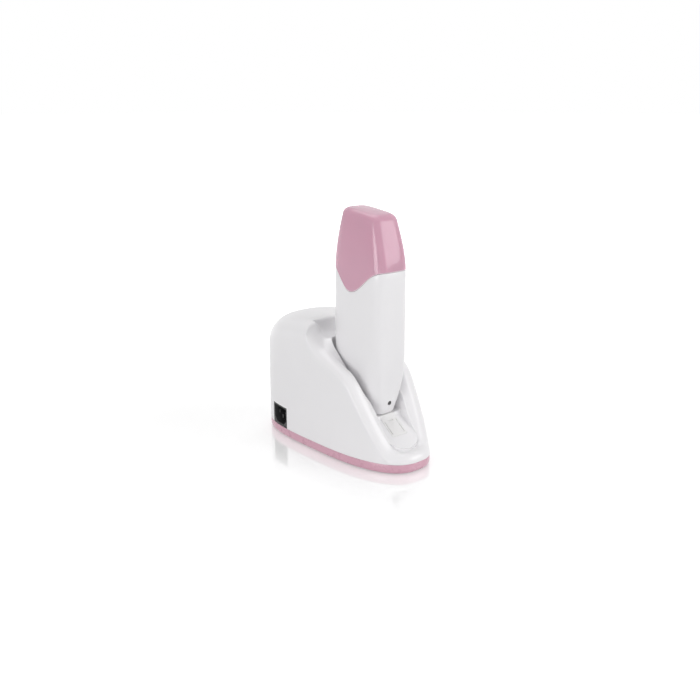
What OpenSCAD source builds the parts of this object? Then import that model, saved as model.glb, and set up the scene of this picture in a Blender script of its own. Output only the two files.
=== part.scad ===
// Roll on wax heater: a hand-held cartridge heater with a clear cap, standing in a mains dock.
// Millimetres. X runs across, Y from the nose of the dock to its back, Z up.
// The origin is the middle of the footprint, on the surface that the dock stands on.

/* [Dock] */
// Length of the dock, from nose to back
dock_l = 206; // [200:1:216]
// Width of the dock
dock_w = 88.5; // [85:0.5:94]
// Height of the top surface behind the handset
plateau_z = 130; // [128:1:136]
// Height of the nose
nose_h = 19; // [18:0.5:21]
// Steepness of the long front edge, as rise over run
front_slope = 1.6; // [1.55:0.01:1.7]
// Wall of the dock shell
shell_wall = 2.5; // [2:0.1:3]
// Height of the line between tray and shell
seam_z = 10; // [9:0.5:11]
// Wall of the tray
tray_wall = 2.4; // [2:0.1:3]
// How far the rubber feet stand out below the tray
foot_gap = 0.8; // [0.6:0.1:1.4]
// Place of the handset's axis along the dock
cradle_y = -32; // [-34:0.5:-31]
// Height of the seat that the handset stands on
seat_z = 45.7; // [44:0.1:48]
// Room between the handset and the well of the dock
cradle_gap = 1.6; // [1.2:0.1:2.2]
// Extra room behind the handset
back_room = 2.6; // [1:0.1:4]

/* [Handset] */
// Height of the handset, with its cap on
handset_h = 200; // [196:1:212]
// Depth of the handset, front to back
handset_depth = 70; // [69:1:73]
// Width of the handset, side to side
handset_w = 43; // [42.5:0.5:45]
// Height of the top of the housing above the foot of the handset
housing_h = 142; // [138:1:146]
// How far the seam of the cap dips on the broad faces
seam_dip = 22; // [16:1:26]
// Wall of the housing
housing_wall = 2.2; // [1.8:0.1:2.4]
// Wall of the cap
cap_wall = 2; // [1.6:0.1:2.2]
// How far the neck stands up inside the cap
neck_rise = 6; // [4:0.5:8]

/* [Wax cartridge] */
// From the narrow side of the handset to the cartridge in its well
end_room = 8.5; // [8:0.1:9.5]
// From the broad side of the handset to the cartridge in its well
side_room = 5.5; // [5.4:0.1:6.5]
// Depth of the well
well_depth = 112; // [104:1:114]
// Sheet thickness of the aluminium well
well_wall = 0.8; // [0.6:0.1:1]

/* [Mains inlet] */
// Width of the inlet's face
inlet_w = 28; // [27:0.5:30]
// Height of the inlet's face
inlet_h = 22; // [20:0.5:23]
// Distance from the middle of the inlet to the back of the dock
inlet_to_back = 41; // [37:1:45]

/* [Contacts] */
// Distance between the two sprung contacts
contact_pitch = 12; // [11:0.5:14]
// Radius of a contact's tip
tip_r = 2.2; // [1.8:0.1:2.4]
// Travel of a sprung contact
contact_travel = 1.5; // [1:0.1:1.8]
// Width of the contact block
block_w = 19; // [18.5:0.5:22]

/* [Hidden] */

// Colours
white = [0.93, 0.93, 0.94];
pink = [0.80, 0.55, 0.66];
clear_pink = [0.85, 0.60, 0.72, 0.7];
cream = [0.88, 0.86, 0.80];
black = [0.08, 0.08, 0.09];
metal = [0.78, 0.78, 0.80];
brass = [0.80, 0.66, 0.36];
copper = [0.72, 0.45, 0.30];
board_green = [0.10, 0.38, 0.22];
ceramic = [0.90, 0.88, 0.84];

eps = 0.01;
big = 400;

// Width and thickness of the cartridge that the well takes
cartridge_w = handset_depth - 2 * end_room;
cartridge_t = handset_w - 2 * side_room;

function mix(a, b, t) = a + (b - a) * t;
function clamp01(t) = min(max(t, 0), 1);
function ease(t) = let (c = clamp01(t)) c * c * (3 - 2 * c);
function soft_min(a, b, r) = let (h = max(r - abs(a - b), 0)) min(a, b) - h * h / (4 * r);
function soft_max(a, b, r) = -soft_min(-a, -b, r);
// Rises from 0 to 1 along a quarter of an ellipse that ends upright
function cove(t) = 1 - sqrt(1 - pow(clamp01(t), 2));

// ---------------------------------------------------------------- closed surfaces from rings

// Faces between rings of n points each, with a flat face on the first and the last ring
function ring_faces(rings, n) = concat(
    [[for (k = [0:n - 1]) k]],
    [for (i = [0:rings - 2], k = [0:n - 1]) let (a = i * n + k, b = i * n + (k + 1) % n)
        each [[a, a + n, b], [b, a + n, b + n]]],
    [[for (k = [n - 1:-1:0]) (rings - 1) * n + k]]);

module skin(rings) {
    n = len(rings[0]);
    polyhedron([for (r = rings) each r], ring_faces(len(rings), n), convexity = 8);
}

// Screws: radius of the shank, radius and height of the head, length, and width of the cross recess
base_screw = [1.1, 2.9, 1, 14, 0.7];
retainer_screw = [1.1, 2.4, 1.2, 10, 0.6];
carrier_screw = [0.9, 1.8, 1.2, 6.4, 0.5];

// ---------------------------------------------------------------- plan of the dock

// The plan is a superellipse. m runs from -1 at the nose to 1 at the back.
half_l = dock_l / 2;
nose_power = 0.76;
back_power = 0.62;
nose_taper = 0.03;
// Middle stretch, as a share of the half length, where an inset moves no point along Y
still_share = 0.27;

function plan_x(m, inset) =
    let (e = mix(back_power, nose_power, ease((1 - m) / 2)),
         c = pow(abs(m), 1 / e),
         s = sqrt(max(0, 1 - c * c)))
    (dock_w / 2 - inset) * pow(s, e) * (1 + nose_taper * sign(m) * c);
function plan_y(m, inset) =
    m * half_l - inset * sign(m) * pow(max(0, (abs(m) - still_share) / (1 - still_share)), 1.2);

plan_steps = 36;
plan_stations = [for (i = [0:plan_steps]) -cos(180 * i / plan_steps)];
function plan_outline(inset) = concat(
    [for (m = plan_stations) [plan_x(m, inset), plan_y(m, inset)]],
    [for (i = [plan_steps - 1:-1:1]) let (m = plan_stations[i]) [-plan_x(m, inset), plan_y(m, inset)]]);

// ---------------------------------------------------------------- top of the dock

handset_z = seat_z + 0.3;
well_half_w = handset_w / 2 + cradle_gap;
wall_y = cradle_y + handset_depth / 2 + 18.5;
cove_run = 11;
shelf_z = plateau_z - 36;
shelf_rise = 0.44;
shelf_soft = 8;
cheek_lead = 9;
cheek_run = 16;
front_start = [-half_l + 41, nose_h + 41.5];
dish_start = [-half_l + 22.5, nose_h + 4.5];
dish_mid = [-half_l + 42.5, nose_h + 38.5];
dish_rise = 0.55;
dish_back = [cradle_y + 14, plateau_z - 35.5];
dish_back_rise = 1.2;
dish_top_z = plateau_z - 16;
lip_r = 3;
plateau_rise = 0.02;
crease_y = 5.6;
crease_depth = 0.5;

// Height of the plateau behind its wall, with a rounded lip
function plateau(d) =
    let (round_in = max(0, lip_r - d))
    plateau_z + plateau_rise * max(0, min(d, 30))
    - (lip_r - sqrt(max(0, lip_r * lip_r - round_in * round_in)));
// A lower line that runs into the upright wall through a cove
function up_to_wall(low, y, wall, run) =
    y > wall ? plateau(y - wall) : low + (plateau_z - lip_r - low) * cove((y - wall + run) / run);
// The crease behind the lip
function crease(x, y) =
    crease_depth * max(0, 1 - abs(y - wall_y - crease_y) / 1.4) * (1 - ease((abs(x) - 26) / 8));

// Height of the outer edge, seen from the side. Its wall stands further forward than the middle one.
function crest(y) =
    let (front = soft_max(nose_h, front_start[1] + front_slope * (y - front_start[0]), 8),
         low = soft_min(front, shelf_z + shelf_rise * (y - cradle_y), shelf_soft))
    up_to_wall(low, y, wall_y - cheek_lead, cheek_run);
// Height of the dished middle, seen from the side
function dish(y) =
    let (steep = soft_max(nose_h, dish_start[1] + 1.53 * (y - dish_start[0]), 5),
         long = dish_mid[1] + dish_rise * (y - dish_mid[0]),
         back = dish_back[1] + dish_back_rise * (y - dish_back[0]),
         low = soft_min(soft_max(soft_min(steep, long, 4), back, 3), dish_top_z, 5))
    up_to_wall(low, y, wall_y, cove_run);

// How far the surface is from the dished middle to the outer edge
function flare(x, x_edge) =
    let (start = min(well_half_w, 0.62 * x_edge), t = clamp01((abs(x) - start) / max(x_edge - start, eps)))
    mix(t, ease(t), 0.5);
function top_z(x, y, x_edge) = mix(dish(y), crest(y), flare(x, x_edge)) - (y > wall_y ? crease(x, y) : 0);

// Rounding of the outer edge: inward across, inward along, and down
front_edge = [12, 7, 8];
plateau_edge = [15, 15, 15];
back_edge = [30, 50, 38];
function edge_round(m) =
    let (y = m * half_l, t = ease((y - wall_y + 14) / 20), u = ease((m - 0.3) / 0.7))
    mix(mix(front_edge, plateau_edge, t), back_edge, u);

// How far the rounded edge draws in along the dock at its top, measured against the direction of Y.
// Behind the wall it is set so that the top stations stay in order up to the very back.
wall_m = wall_y / half_l;
back_end_slope = 0.4;
back_start_slope = (half_l - wall_y) / (half_l - back_edge[1] - wall_y);
function back_share(t) =
    t + (1 - back_end_slope) * t * (1 - t) + (back_start_slope - 2 + back_end_slope) * t * pow(1 - t, 2);
function edge_along(m) = m <= wall_m ? plan_y(m, 0) - plan_y(m, front_edge[1])
    : m * half_l - mix(wall_y, half_l - back_edge[1], back_share((m - wall_m) / (1 - wall_m)));

// Stations along the dock, closer together at both ends and at the lip. fine is 2 or 1.
cove_m = (wall_y - cheek_lead - cheek_run) / half_l;
lip_run = 9;
lip_steps = [0, 0.4, 1.2, 3, 4.2, 5.6, 7];
back_m = (wall_y + lip_run) / half_l;
function dock_stations(fine) = concat(
    [for (i = [0:8 * fine]) mix(-1, cove_m, 1 - cos(90 * i / (8 * fine + 1)))],
    [for (i = [0:6 * fine]) mix(cove_m, wall_m, sin(90 * i / (6 * fine + 1)))],
    [for (d = fine > 1 ? lip_steps : [0.4, 3]) (wall_y + d) / half_l],
    [for (i = [0:6 * fine]) mix(back_m, 1, sin(84 * i / (6 * fine)) / sin(84))]);
function top_shares(fine) = fine > 1 ? [-0.9, -0.8, -0.7, -0.6, -0.35, 0, 0.35, 0.6, 0.7, 0.8, 0.9]
    : [-0.8, -0.6, 0, 0.6, 0.8];
function edge_steps(fine) = 2 + fine;

// The inner skin reads the heights a little nearer the nose, which keeps its wall thick on slopes
function lag(y, inset) = y < wall_y + inset ? 1.1 * inset : 0;
// One side of a section: foot, then over the rounded edge. side is -1 or 1.
function section_side(m, inset, foot_z, drop, side, fine) =
    let (r = edge_round(m), steps = edge_steps(fine))
    concat([[side * plan_x(m, inset), plan_y(m, inset), foot_z]],
        [for (i = [0:steps])
            let (a = 90 * i / steps,
                 x = plan_x(m, inset + r[0] * (1 - cos(a))),
                 y = plan_y(m, inset) - edge_along(m) * (1 - cos(a)),
                 z = crest(y - lag(y, inset)) - drop - r[2] * (1 - sin(a)))
            [side * x, y, max(z, foot_z + 0.5 + 0.5 * i)]]);
function section_top(m, inset, drop, fine) =
    let (r = edge_round(m),
         x_edge = plan_x(m, inset + r[0]),
         y = plan_y(m, inset) - edge_along(m))
    [for (u = top_shares(fine))
        [u * x_edge, y, top_z(u * x_edge, y - lag(y, inset), x_edge) - drop]];
function reversed(v) = [for (i = [len(v) - 1:-1:0]) v[i]];
function section(m, inset, foot_z, drop, fine) = concat(
    section_side(m, inset, foot_z, drop, -1, fine),
    section_top(m, inset, drop, fine),
    reversed(section_side(m, inset, foot_z, drop, 1, fine)));

// The sections close to an upright line at both ends, where the two sides share their points
function folded(k, side, loop) = k < side ? k : k >= loop - side ? loop - 1 - k : side - 1;
function grid_id(i, k, side, loop, last) = i * loop + (i == 0 || i == last ? folded(k, side, loop) : k);
function real_faces(list) = [for (f = list) if (f[0] != f[1] && f[1] != f[2] && f[2] != f[0]) f];
function grid_faces(side, loop, last) = real_faces([for (i = [0:last - 1], k = [0:loop - 1])
    let (n = (k + 1) % loop,
         a = grid_id(i, k, side, loop, last), b = grid_id(i, n, side, loop, last),
         c = grid_id(i + 1, k, side, loop, last), d = grid_id(i + 1, n, side, loop, last))
    each [[a, c, b], [b, c, d]]]);

module dock_form(inset, foot_z, drop, fine) {
    stations = dock_stations(fine);
    side = edge_steps(fine) + 2;
    polyhedron([for (m = stations) each section(m, inset, foot_z, drop, fine)],
        grid_faces(side, 2 * side + len(top_shares(fine)), len(stations) - 1), convexity = 10);
}

// ---------------------------------------------------------------- well and scoop of the dock

scoop_top = [cradle_y - handset_depth / 2 + 7.5, seat_z - 3.2];
scoop_slope = 0.767;
scoop_nose_y = -half_l + 12;
well_back_y = cradle_y + handset_depth / 2 + cradle_gap + back_room;
corner_r = 13 + cradle_gap;
function scoop_z(y) = scoop_top[1] + scoop_slope * (y - scoop_top[0]);

// Plan of the well: a round front end for the scoop and two round corners behind the handset
module well_plan(grow) {
    w = well_half_w + grow;
    translate([0, scoop_nose_y + well_half_w]) circle(r = w, $fn = 64);
    for (s = [-1, 1]) translate([s * (well_half_w - corner_r), well_back_y - corner_r])
        circle(r = corner_r + grow, $fn = 48);
    translate([-w, scoop_nose_y + well_half_w]) square([2 * w,
        well_back_y - corner_r - scoop_nose_y - well_half_w]);
    translate([-(well_half_w - corner_r), -eps]) square([2 * (well_half_w - corner_r),
        well_back_y + grow + eps]);
}
// Side view of everything above the floor of the well and the scoop
module above_floor(sink) {
    rotate([90, 0, 90]) translate([0, 0, -big / 2]) linear_extrude(big) polygon([
        [-big, scoop_z(-big) - sink], [scoop_top[0], scoop_top[1] - sink],
        [scoop_top[0] + 1.5, seat_z - sink], [big, seat_z - sink], [big, big], [-big, big]]);
}
// Front view of the well: its side walls lean in towards the foot of the handset
well_tuck = 5;
function well_side(z) = well_half_w - well_tuck * foot_share(z - handset_z);
module well_sides(grow) {
    levels = concat([-big], [for (i = [0:8]) handset_z + foot_run * i / 8], [big]);
    right = [for (z = levels) [well_side(z) + grow, z]];
    left = [for (z = reversed(levels)) [-well_side(z) - grow, z]];
    rotate([90, 0, 0]) translate([0, 0, -big / 2]) linear_extrude(big) polygon(concat(right, left));
}
module well_cut(grow, sink) {
    intersection() {
        linear_extrude(big) well_plan(grow);
        well_sides(grow);
        above_floor(sink);
    }
}

// ---------------------------------------------------------------- dock: shell

block_back_y = cradle_y + 4;
block_front_y = scoop_top[0] - 17;
block_gap = 0.25;
block_depth = 17;
retainer_z = seat_z - 0.1 - block_depth;
contact_y = cradle_y - 10;
retainer_spots = [for (s = [-1, 1]) [s * (block_w / 2 + 3.6), contact_y]];
post_r = 4;
post_h = 16;
function post_spot(side, y) = [side * (plan_x(y / half_l, shell_wall) - post_r + 1.4), y];
post_spots = [for (s = [-1, 1], y = [-half_l + 41, half_l - 19]) post_spot(s, y)];
screw_hole_r = base_screw[0] + 0.05;

// The angle and place of the flat mains inlet on the curved flank
inlet_y = half_l - inlet_to_back;
inlet_m = inlet_y / half_l;
inlet_turn = atan2(plan_x(inlet_m - 0.1, 0) - plan_x(inlet_m + 0.1, 0), 0.2 * half_l);
inlet_x = -plan_x(inlet_m, 0);
inlet_gap = 0.25;
inlet_z = seam_z + 0.15 + inlet_gap + inlet_h / 2;
inlet_sink = 0.9;
// Children are drawn with their face in the YZ plane, looking towards -X, and the body behind it
module at_inlet() {
    translate([inlet_x, inlet_y, inlet_z]) rotate([0, 0, -inlet_turn]) translate([inlet_sink, 0, 0])
        children();
}
module inlet_hole() {
    at_inlet() translate([-10, -inlet_w / 2 - inlet_gap, -inlet_h / 2 - inlet_gap])
        cube([24, inlet_w + 2 * inlet_gap, inlet_h + 2 * inlet_gap]);
}

module block_plan(grow) {
    translate([-block_w / 2 - grow, block_front_y - grow])
        square([block_w + 2 * grow, block_back_y - block_front_y + 2 * grow]);
}

module base_shell() {
    color(white) difference() {
        union() {
            difference() {
                dock_form(0, seam_z, 0, 2);
                difference() {
                    dock_form(shell_wall, seam_z - 1, shell_wall, 1);
                    well_cut(shell_wall, shell_wall);
                }
            }
            for (p = post_spots) translate([p[0], p[1], seam_z]) cylinder(r = post_r, h = post_h, $fn = 24);
            for (p = retainer_spots) translate([p[0], p[1], retainer_z])
                cylinder(r = 3, h = seat_z - 1 - retainer_z, $fn = 24);
        }
        well_cut(0, 0);
        for (p = post_spots) translate([p[0], p[1], seam_z - 1]) cylinder(r = screw_hole_r,
            h = post_h - 2, $fn = 16);
        for (p = retainer_spots) translate([p[0], p[1], retainer_z - 1])
            cylinder(r = retainer_screw[0] + 0.05, h = retainer_screw[3], $fn = 16);
        translate([0, 0, seat_z - 30]) linear_extrude(40) block_plan(block_gap);
        inlet_hole();
    }
}

// ---------------------------------------------------------------- dock: tray, feet and screws

tray_step = 0.3;
foot_r = 6;
foot_h = foot_gap + 1.2;
foot_spots = [for (s = [-1, 1], y = [-half_l + 53, half_l - 27]) [s * (plan_x(y / half_l, 0) - 14), y]];
// Inset and height of the tray's side, from its tucked foot to the seam
tray_side = [[2.6, foot_gap], [1.5, foot_gap + 0.5], [0.7, foot_gap + 1.5], [tray_step, foot_gap + 3.4],
             [tray_step, seam_z]];
function lifted(outline, z) = [for (p = outline) [p[0], p[1], z]];

module base_tray() {
    floor_z = foot_gap + tray_wall;
    color(pink) difference() {
        union() {
            difference() {
                skin([for (t = tray_side) lifted(plan_outline(t[0]), t[1])]);
                translate([0, 0, floor_z]) linear_extrude(big) polygon(plan_outline(tray_step + tray_wall));
            }
            for (p = post_spots) translate([p[0], p[1], floor_z - 1])
                cylinder(r = post_r - 0.2, h = seam_z - floor_z + 1 - 0.05, $fn = 24);
        }
        for (p = foot_spots) translate([p[0], p[1], -eps]) cylinder(r = foot_r + 0.1, h = foot_h, $fn = 24);
        for (p = post_spots) translate([p[0], p[1], -eps]) {
            cylinder(r = 1.7, h = 20, $fn = 16);
            cylinder(r = 3.2, h = foot_gap + 1.4, $fn = 24);
        }
    }
}

module base_feet() {
    color(black) for (p = foot_spots) translate([p[0], p[1], 0]) rotate_extrude($fn = 48) polygon([
        [0, 0], [foot_r - 1, 0], [foot_r, 0.6], [foot_r, foot_h - 0.05], [0, foot_h - 0.05]]);
}

module base_screws() {
    color(metal) for (p = post_spots) translate([p[0], p[1], foot_gap + 0.35]) screw(base_screw);
}

// A pan-head screw that points up, with a cross recess in its head
module screw(size) {
    shank_r = size[0];
    head_r = size[1];
    head_h = size[2];
    length = size[3];
    cross = size[4];
    difference() {
        union() {
            cylinder(r = head_r, h = head_h, $fn = 32);
            cylinder(r = shank_r, h = head_h + length, $fn = 24);
        }
        for (a = [0, 90]) rotate([0, 0, a]) translate([-head_r * 0.6, -cross / 2, -eps])
            cube([head_r * 1.2, cross, head_h * 0.6]);
    }
}

// ---------------------------------------------------------------- dock: mains inlet

inlet_depth = 17;
inlet_back_wall = 2;
inlet_rim = 2;
inlet_corner = 5;
// Flat pins: length inside the mouth, width and height; then their places across and up
pin_size = [14, 2, 4];
pin_spots = [[-7, 2], [7, 2], [0, -2]];
pin_front = inlet_depth - pin_size[0];
tail_h = 3;
inlet_ear_x = shell_wall - inlet_sink + 2.3;
pin_end = inlet_depth + inlet_back_wall + 6;

module inlet_mouth_plan() {
    w = inlet_w / 2 - inlet_rim;
    h = inlet_h / 2 - inlet_rim;
    polygon([[-w, -h + inlet_corner], [-w + inlet_corner, -h], [w - inlet_corner, -h],
             [w, -h + inlet_corner], [w, h], [-w, h]]);
}
module mains_inlet() {
    color(black) at_inlet() difference() {
        union() {
            translate([0, -inlet_w / 2, -inlet_h / 2]) cube([inlet_depth + inlet_back_wall, inlet_w,
                inlet_h]);
            for (s = [-1, 1]) translate([inlet_ear_x, s * (inlet_w / 2 + 0.5), 0])
                cube([1.6, 1.6, 8], center = true);
        }
        rotate([90, 0, 90]) translate([0, 0, -1]) linear_extrude(inlet_depth + 1) inlet_mouth_plan();
        for (p = pin_spots) translate([inlet_depth, p[0], p[1]])
            cube([2 * inlet_back_wall + 1, pin_size[1] + 0.02, pin_size[2] + 0.02], center = true);
    }
}
module inlet_pins() {
    color(metal) at_inlet() for (p = pin_spots) {
        translate([pin_front, p[0] - pin_size[1] / 2, p[1] - pin_size[2] / 2])
            cube([pin_size[0] + inlet_back_wall, pin_size[1], pin_size[2]]);
        translate([inlet_depth, p[0] - 0.4, p[1] - tail_h / 2])
            cube([pin_end - inlet_depth, 0.8, tail_h]);
    }
}

// ---------------------------------------------------------------- dock: contact block and sprung contacts

bore_fit = 0.06;
block_lid = 1.6;
flange_r = tip_r + 1.1;
flange_h = 1.2;
flange_top_z = seat_z - 0.1 - block_lid - 0.1;
bore_r = flange_r + 0.3;
tip_rise = contact_travel + 0.5;
tip_dome = 0.4;
spring_r = tip_r + 0.4;
spring_wire = 0.35;
stem_r = spring_r - spring_wire - 0.3;
stem_h = 6;

// Side view of the block: a slope that is flush with the scoop, then a level top under the handset
module block_side() {
    polygon([[block_front_y, scoop_z(block_front_y) - 5], [block_front_y, scoop_z(block_front_y) + 0.2],
             [scoop_top[0], scoop_top[1] + 0.2], [scoop_top[0] + 1.5, seat_z - 0.1], [block_back_y,
                 seat_z - 0.1],
             [block_back_y, retainer_z], [scoop_top[0] + 2, retainer_z]]);
}
// Ledges that hold the block from above, under the floor of the well
ledge = 2;
ledge_top_z = seat_z - shell_wall - 0.1;
module block_ledges() {
    translate([-block_w / 2, block_back_y - eps, ledge_top_z - ledge]) cube([block_w, ledge, ledge]);
    translate([-block_w / 2 - ledge, contact_y - 14, ledge_top_z - ledge]) cube([block_w + 2 * ledge, 7,
        ledge]);
}
// A groove cut down into the slope of the block
module slope_groove(x, width, y, run, depth) {
    translate([x - width / 2, 0, 0]) rotate([90, 0, 90]) linear_extrude(width) polygon([
        [y, scoop_z(y) - depth], [y, scoop_z(y) + 5], [y + run, scoop_z(y + run) + 5],
        [y + run, scoop_z(y + run) - depth]]);
}
module contact_block() {
    color(cream) difference() {
        union() {
            rotate([90, 0, 90]) translate([0, 0, -block_w / 2]) linear_extrude(block_w) block_side();
            block_ledges();
        }
        for (s = [-1, 1]) translate([s * contact_pitch / 2, contact_y, retainer_z - 1]) {
            cylinder(r = tip_r + bore_fit, h = block_depth + 2, $fn = 48);
            cylinder(r = bore_r, h = block_depth + 1 - block_lid, $fn = 48);
        }
        for (s = [-1, 1]) slope_groove(s * (block_w / 2 - 2), 1, block_front_y + 2, 12.5, 0.8);
        slope_groove(1, 5.5, scoop_top[0] - 3.2, 1.1, 1.2);
    }
}
retainer_h = 2.6;
module contact_retainer() {
    color(cream) translate([0, 0, retainer_z - retainer_h]) difference() {
        translate([-block_w / 2 - 7, contact_y - 8, 0]) cube([block_w + 14, 16, retainer_h]);
        for (s = [-1, 1]) translate([s * contact_pitch / 2, contact_y, -eps]) cylinder(r = lead_r, h = 3,
            $fn = 24);
        for (p = retainer_spots) translate([p[0], p[1], -eps]) cylinder(r = 1.4, h = 3, $fn = 24);
    }
}
module retainer_screws() {
    color(metal) for (p = retainer_spots) translate([p[0], p[1], retainer_z - retainer_h - retainer_screw[2]])
        screw(retainer_screw);
}
module plunger(side) {
    dome_h = tip_r * tip_dome;
    translate([side * contact_pitch / 2, contact_y, 0]) {
        translate([0, 0, flange_top_z - flange_h]) cylinder(r = flange_r, h = flange_h, $fn = 48);
        translate([0, 0, flange_top_z - flange_h - stem_h]) cylinder(r = stem_r, h = stem_h + 0.5, $fn = 32);
        translate([0, 0, flange_top_z - 0.5]) cylinder(r = tip_r,
            h = seat_z + tip_rise - dome_h - flange_top_z + 0.5, $fn = 48);
        translate([0, 0, seat_z + tip_rise - dome_h]) rotate_extrude($fn = 48) polygon(concat([[0, -0.5],
            [tip_r, -0.5]],
            [for (a = [0:10:90]) [tip_r * cos(a), dome_h * sin(a)]]));
    }
}
module contact_plunger_left() { color(brass) plunger(-1); }
module contact_plunger_right() { color(brass) plunger(1); }

// A coil spring as one tube that follows a helix
spring_curls = 5;
curl_rings = 8;
spring_sides = 6;
spring_z0 = retainer_z + 0.05;
spring_z1 = flange_top_z - flange_h - 0.05;
spring_rise = (spring_z1 - spring_z0 - 2 * spring_wire) / spring_curls;
function spring_ring(a) =
    [for (k = [0:spring_sides - 1]) let (b = -360 * k / spring_sides, r = spring_r + spring_wire * cos(b))
        [r * cos(a), r * sin(a), spring_z0 + spring_wire + spring_rise * a / 360 + spring_wire * sin(b)]];
spring_rings = [for (i = [0:spring_curls * curl_rings]) spring_ring(360 * i / curl_rings)];
// The least gap between one curl and the next, measured on the points of the rings
function least(v, i = 0, m = big) = i == len(v) ? m : least(v, i + 1, min(m, v[i]));
spring_least_gap = least([for (i = [0:len(spring_rings) - curl_rings - 1], p = spring_rings[i],
    q = spring_rings[i + curl_rings]) norm(p - q)]);
echo(spring_least_gap = spring_least_gap);
module plunger_spring(side) {
    translate([side * contact_pitch / 2, contact_y, 0]) skin(spring_rings);
}
module plunger_spring_left() { color(metal) plunger_spring(-1); }
module plunger_spring_right() { color(metal) plunger_spring(1); }

// ---------------------------------------------------------------- wires

// A round wire through hand-placed points: straight runs with a short bend at each point
wire_sides = 8;
function unit(v) = v / norm(v);
function smooth_path(p) = concat([p[0]],
    [for (i = [1:len(p) - 2]) each [mix(p[i], p[i - 1], 0.3), mix(p[i], p[i - 1], 0.08),
                                    mix(p[i], p[i + 1], 0.08), mix(p[i], p[i + 1], 0.3)]],
    [p[len(p) - 1]]);
function wire_dir(p, i) = unit(p[min(i + 1, len(p) - 1)] - p[max(i - 1, 0)]);
function wire_ring(c, d, r) =
    let (side = unit(cross(d, abs(d[2]) > 0.9 ? [1, 0, 0] : [0, 0, 1])), other = cross(side, d))
    [for (k = [0:wire_sides - 1]) let (a = -360 * k / wire_sides) c + r * (cos(a) * side + sin(a) * other)];
module wire(points, r) {
    p = smooth_path(points);
    skin([for (i = [0:len(p) - 1]) wire_ring(p[i], wire_dir(p, i), r)]);
}

lead_r = 0.9;
lead_start = 5 * [cos(inlet_turn), -sin(inlet_turn), 0];
inlet_back = [for (p = pin_spots) let (c = cos(inlet_turn), s = sin(inlet_turn),
    d = inlet_sink + pin_end + 0.05)
    [inlet_x + d * c + p[0] * s, inlet_y - d * s + p[0] * c, inlet_z + p[1]]];
// Two leads from the inlet's line and neutral pins to the terminals under the contacts
module base_leads() {
    foot_z = retainer_z - retainer_h;
    color(copper) for (k = [0, 1]) {
        side = 2 * k - 1;
        wire([inlet_back[k], inlet_back[k] + lead_start, [-12 + 10 * k, 38 + 8 * k, seam_z + 10],
            [side * 14, 0, seam_z + 5],
              [side * (contact_pitch / 2 + 2), contact_y + 8, seam_z + 6],
              [side * contact_pitch / 2, contact_y, foot_z - 4], [side * contact_pitch / 2, contact_y,
                  retainer_z - 0.2]],
             lead_r);
    }
}

// ---------------------------------------------------------------- form of the handset

// Heights are above the foot of the handset. The section is a superellipse.
half_d = handset_depth / 2;
half_w = handset_w / 2;
ring_points = 48;
foot_run = 58;
foot_tuck = [7.8, 9.5, 7.5];
shoulder_h = housing_h - 4;
shoulder_drop = [5.6, 12.4, 9.6];
top_round = 5.5;
// The top leans down towards the front by this much
top_lean = 8;
foot_round = 2.4;

function foot_share(h) = pow(clamp01(1 - h / foot_run), 2);
function top_share(h) = pow(clamp01((h - shoulder_h) / (handset_h - shoulder_h)), 1.7);
function end_inset(h, r, t) = t >= r ? 0 : r - sqrt(max(0, r * r - (r - t) * (r - t)));
function section_inset(h) = end_inset(h, foot_round, h) + end_inset(h, top_round, handset_h - h);
// Half size to one side: k is 0 across, 1 to the front, 2 to the back
function reach(k, full, h) = full - foot_tuck[k] * foot_share(h) - shoulder_drop[k] * top_share(h)
    - section_inset(h);
function across(h) = reach(0, half_w, h);
function forward(h) = reach(1, half_d, h);
function backward(h) = reach(2, half_d, h);
function leaned(h, y) = h - top_lean * ease((h - shoulder_h) / (handset_h - shoulder_h)) * (half_d - y)
    / handset_depth;
function section_power(h) = mix(0.46, 0.56, foot_share(h));

function handset_ring(h, inset, n) =
    let (a = across(h) - inset, f = forward(h) - inset, b = backward(h) - inset, e = section_power(h))
    [for (k = [0:n - 1]) let (t = 360 * k / n, c = cos(t), s = sin(t), y = (s > 0 ? b : f) * sign(s)
        * pow(abs(s), e))
        [a * sign(c) * pow(abs(c), e), y, leaned(h, y)]];

// Height of the seam between housing and cap, seen from the side
seam_middle = 5;
seam_run_front = 40;
seam_run_back = 29;
function seam_h(y) =
    let (t = clamp01((y - seam_middle) / (y < seam_middle ? -seam_run_front : seam_run_back)))
    housing_h - seam_dip * pow(cos(90 * t), 2);
seam_steps = 40;
seam_line = [for (i = [0:seam_steps]) let (y = mix(-half_d - 3, half_d + 3, i / seam_steps)) [y, seam_h(y)]];
// Everything below the seam, moved down by a gap
module below_seam(gap) {
    rotate([90, 0, 90]) translate([0, 0, -big / 2]) linear_extrude(big)
        polygon(concat([[-half_d - 3, -10]], [for (p = seam_line) [p[0], p[1] - gap]], [[half_d + 3, -10]]));
}
module above_seam(gap) {
    rotate([90, 0, 90]) translate([0, 0, -big / 2]) linear_extrude(big)
        polygon(concat([[-half_d - 3, big]], [for (p = seam_line) [p[0], p[1] + gap]], [[half_d + 3, big]]));
}
module in_handset() {
    translate([0, cradle_y, handset_z]) children();
}

housing_levels = [0, 0.3, 1, 2.4, 6, 11, 17, 24, 32, 42, foot_run, 100, shoulder_h, housing_h];
floor_h = 2.4;
led_h = 12.2;
pad_recess_r = tip_r + 1.2;

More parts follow.
